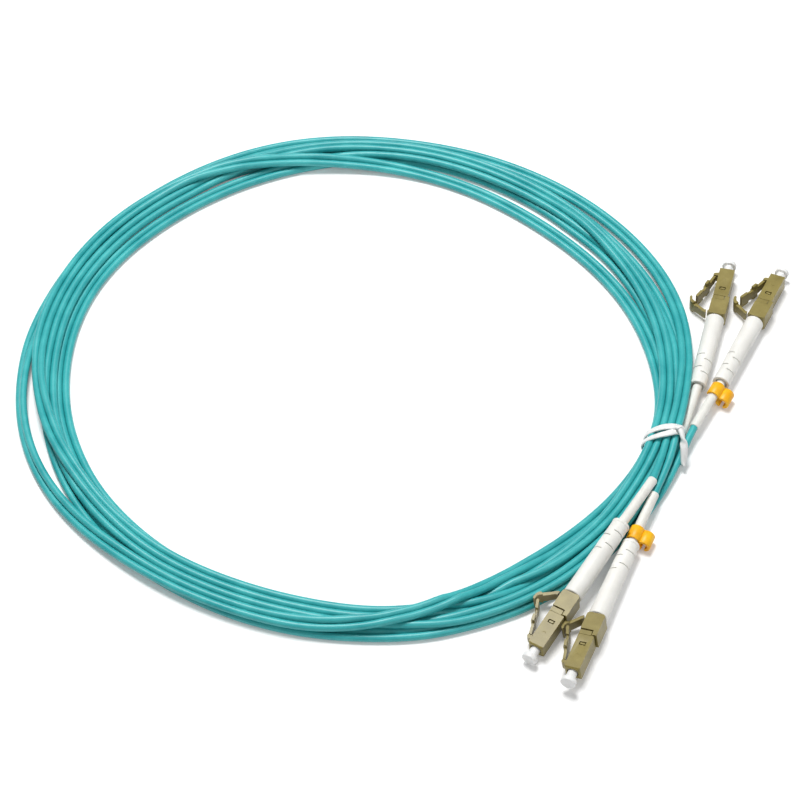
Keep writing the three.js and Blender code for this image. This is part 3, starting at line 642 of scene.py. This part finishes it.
# ---- Duplex clips --------------------------------------------------------------------------------
CLIP_LONG = 4.4


def clip_mesh(name, matrix):
    """Two open rings side by side along local -Y, each with its mouth below."""
    work = bmesh.new()
    outer, pitch = 2.12, 3.25
    for y0, mid, inner, mouth in ((0.0, 230.0, 1.5, 80), (-pitch, -70.0, 1.2, 46)):
        spots = []
        steps = 34
        for k in range(steps + 1):
            a = math.radians(mid + mouth / 2 + (360 - mouth) * k / steps)
            spots.append(a)
        lip = (inner + outer) / 2
        loop = [(outer * math.cos(a), outer * math.sin(a)) for a in spots]
        loop.append((lip * math.cos(spots[-1] + 0.14), lip * math.sin(spots[-1] + 0.14)))
        loop += [(inner * math.cos(a), inner * math.sin(a)) for a in reversed(spots)]
        loop.append((lip * math.cos(spots[0] - 0.14), lip * math.sin(spots[0] - 0.14)))
        bands = [(0.0, 0.10), (-0.12, 0.0), (-CLIP_LONG + 0.12, 0.0), (-CLIP_LONG, 0.10)]
        rings = []
        for x, inset in bands:
            made = []
            for px, py in loop:
                r = math.hypot(px, py)
                r2 = r - inset if r > lip + 0.01 else (r + inset if r < lip - 0.01 else r)
                made.append(work.verts.new((matrix @ Vector((x, -px * r2 / r + y0, py * r2 / r))) * MM))
            rings.append(made)
        n = len(loop)
        for one, two in zip(rings, rings[1:]):
            for i in range(n):
                work.faces.new((one[i], one[(i + 1) % n], two[(i + 1) % n], two[i]))
        for r0 in (rings[0], rings[-1]):
            half = steps + 1
            out, inn = r0[:half], list(reversed(r0[half + 1:half + 1 + half]))
            for i in range(half - 1):
                work.faces.new((out[i], out[i + 1], inn[i + 1], inn[i]))
            work.faces.new((out[-1], r0[half], inn[-1]))
            work.faces.new((inn[0], r0[-1], out[0]))
    bmesh.ops.recalc_face_normals(work, faces=work.faces)
    mesh = bpy.data.meshes.new(name)
    work.to_mesh(mesh)
    work.free()
    return mesh


for name, leg, spin, back in (("duplex_clip_a", "a2", -24, True), ("duplex_clip_b", "b2", 20, False)):
    place = Matrix.Translation((1.5 + 1.3 + (0 if back else CLIP_LONG), 0, 0)) @ turn(spin)
    if back:
        place = place @ turn(z=180)
    piece(f"{name}_moulding", clip_mesh(f"{name}_moulding", LEG[leg] @ place), CLIP, ROOT,
          (name,), 40)

# ---- Floor, light and backdrop -------------------------------------------------------------------
floor_mesh = bpy.data.meshes.new("floor")
floor_mesh.from_pydata([(-3, -3, -0.00012), (3, -3, -0.00012), (3, 3, -0.00012), (-3, 3, -0.00012)], [],
                       [(0, 1, 2, 3)])
floor = bpy.data.objects.new("floor", floor_mesh)
scene.collection.objects.link(floor)
paper = bpy.data.materials.new("floor")
paper.use_nodes = True
tree = paper.node_tree
base = tree.nodes["Principled BSDF"]
base.inputs["Base Color"].default_value = (0.9, 0.9, 0.9, 1)
base.inputs["Roughness"].default_value = 0.9
base.inputs["Specular IOR Level"].default_value = 0.1
paths = tree.nodes.new("ShaderNodeLightPath")
seen = tree.nodes.new("ShaderNodeMath")
seen.operation = "MAXIMUM"
tree.links.new(paths.outputs["Is Camera Ray"], seen.inputs[0])
tree.links.new(paths.outputs["Is Glossy Ray"], seen.inputs[1])
more = tree.nodes.new("ShaderNodeMath")
more.operation = "MAXIMUM"
tree.links.new(seen.outputs[0], more.inputs[0])
tree.links.new(paths.outputs["Is Transmission Ray"], more.inputs[1])
glow = tree.nodes.new("ShaderNodeEmission")
glow.inputs["Color"].default_value = (1, 1, 1, 1)
scale = tree.nodes.new("ShaderNodeMath")
scale.operation = "MULTIPLY"
scale.inputs[1].default_value = 0.16
tree.links.new(more.outputs[0], scale.inputs[0])
tree.links.new(scale.outputs[0], glow.inputs["Strength"])
both = tree.nodes.new("ShaderNodeAddShader")
tree.links.new(base.outputs[0], both.inputs[0])
tree.links.new(glow.outputs[0], both.inputs[1])
tree.links.new(both.outputs[0], tree.nodes["Material Output"].inputs["Surface"])
floor.data.materials.append(paper)

world = bpy.data.worlds.new("studio")
world.use_nodes = True
scene.world = world
sky = world.node_tree.nodes["Background"]
sky.inputs["Color"].default_value = (1, 1, 1, 1)
ray = world.node_tree.nodes.new("ShaderNodeLightPath")
level = world.node_tree.nodes.new("ShaderNodeMapRange")
level.inputs["To Min"].default_value = 0.24
level.inputs["To Max"].default_value = 1.0
world.node_tree.links.new(ray.outputs["Is Camera Ray"], level.inputs["Value"])
world.node_tree.links.new(level.outputs["Result"], sky.inputs["Strength"])


def lamp(name, place, target, size, watts):
    """A round lamp of that diameter, turned to its target."""
    data = bpy.data.lights.new(name, "AREA")
    data.shape = "DISK"
    data.size = size
    data.energy = watts
    made = bpy.data.objects.new(name, data)
    scene.collection.objects.link(made)
    made.location = Vector(place)
    made.rotation_euler = (Vector(target) - Vector(place)).to_track_quat("-Z", "Y").to_euler()


heart = Vector(((COIL[0] + HERE[0]) * MM, (COIL[1] + HERE[1]) * MM, 0))
lamp("key", heart + Vector((-0.14, 0.36, 1.2)), heart, 0.5, 15.2)
lamp("fill", heart + Vector((0.6, -0.7, 0.9)), heart, 0.9, 2.4)
